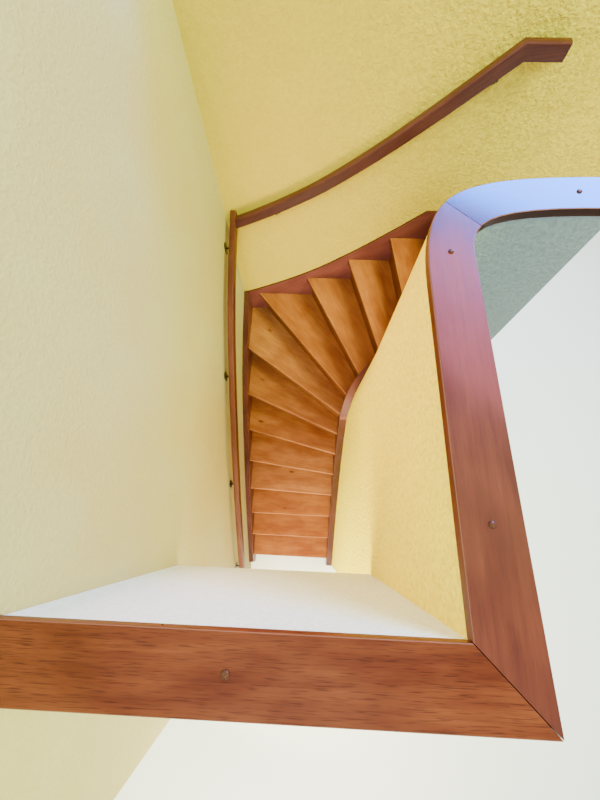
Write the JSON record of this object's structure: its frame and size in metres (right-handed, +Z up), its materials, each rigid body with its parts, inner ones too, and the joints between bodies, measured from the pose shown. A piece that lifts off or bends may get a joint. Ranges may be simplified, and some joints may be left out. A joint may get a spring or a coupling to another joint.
{
  "type": "quarter-turn winder staircase",
  "caption": "Timber closed-string winder stair turning a quarter between plastered stairwell walls, with wall handrails and a capped parapet round the well.",
  "frame": {"origin": "on the lower floor, under the middle of the whole", "axes": "+Z up; the lower flight climbs along +Y and the upper flight along +X; the parapet's front faces -Y"},
  "size_m": [2.2824, 2.775, 3.86],
  "materials": {
    "yellow_plaster": "matt textured emulsion on plaster",
    "white_plaster": "matt textured emulsion on plaster",
    "tread_wood": "amber satin lacquer",
    "string_wood": "red-brown satin lacquer",
    "rail_wood": "brown satin lacquer",
    "capping_wood": "red-brown semi-gloss lacquer",
    "bracket_metal": "black painted"
  },
  "bodies": {
    "root": {"left_wall": "yellow_plaster", "far_wall": "yellow_plaster", "inner_wall": "yellow_plaster", "inner_wall_corner": "yellow_plaster", "corner_side": "yellow_plaster", "corner_turn": "yellow_plaster", "corner_return": "yellow_plaster", "near_wall": "white_plaster", "capping_front": "capping_wood", "capping_side": "capping_wood", "capping_return": "capping_wood", "string_left": "string_wood", "string_far": "string_wood", "string_inner_lower": "string_wood", "string_inner_wreath": "string_wood", "string_inner_upper": "string_wood", "tread_01": "tread_wood", "tread_02": "tread_wood", "tread_03": "tread_wood", "tread_04": "tread_wood", "tread_05": "tread_wood", "tread_06": "tread_wood", "tread_07": "tread_wood", "tread_08": "tread_wood", "tread_09": "tread_wood", "tread_10": "tread_wood", "tread_11": "tread_wood", "tread_12": "tread_wood", "landing_nosing": "tread_wood", "riser_01": "tread_wood", "riser_02": "tread_wood", "riser_03": "tread_wood", "riser_04": "tread_wood", "riser_05": "tread_wood", "riser_06": "tread_wood", "riser_07": "tread_wood", "riser_08": "tread_wood", "riser_09": "tread_wood", "riser_10": "tread_wood", "riser_11": "tread_wood", "riser_12": "tread_wood", "riser_13": "tread_wood", "handrail_left": "rail_wood", "handrail_far": "rail_wood", "brackets_left": "bracket_metal", "brackets_far": "bracket_metal"}
  },
  "joints": []
}
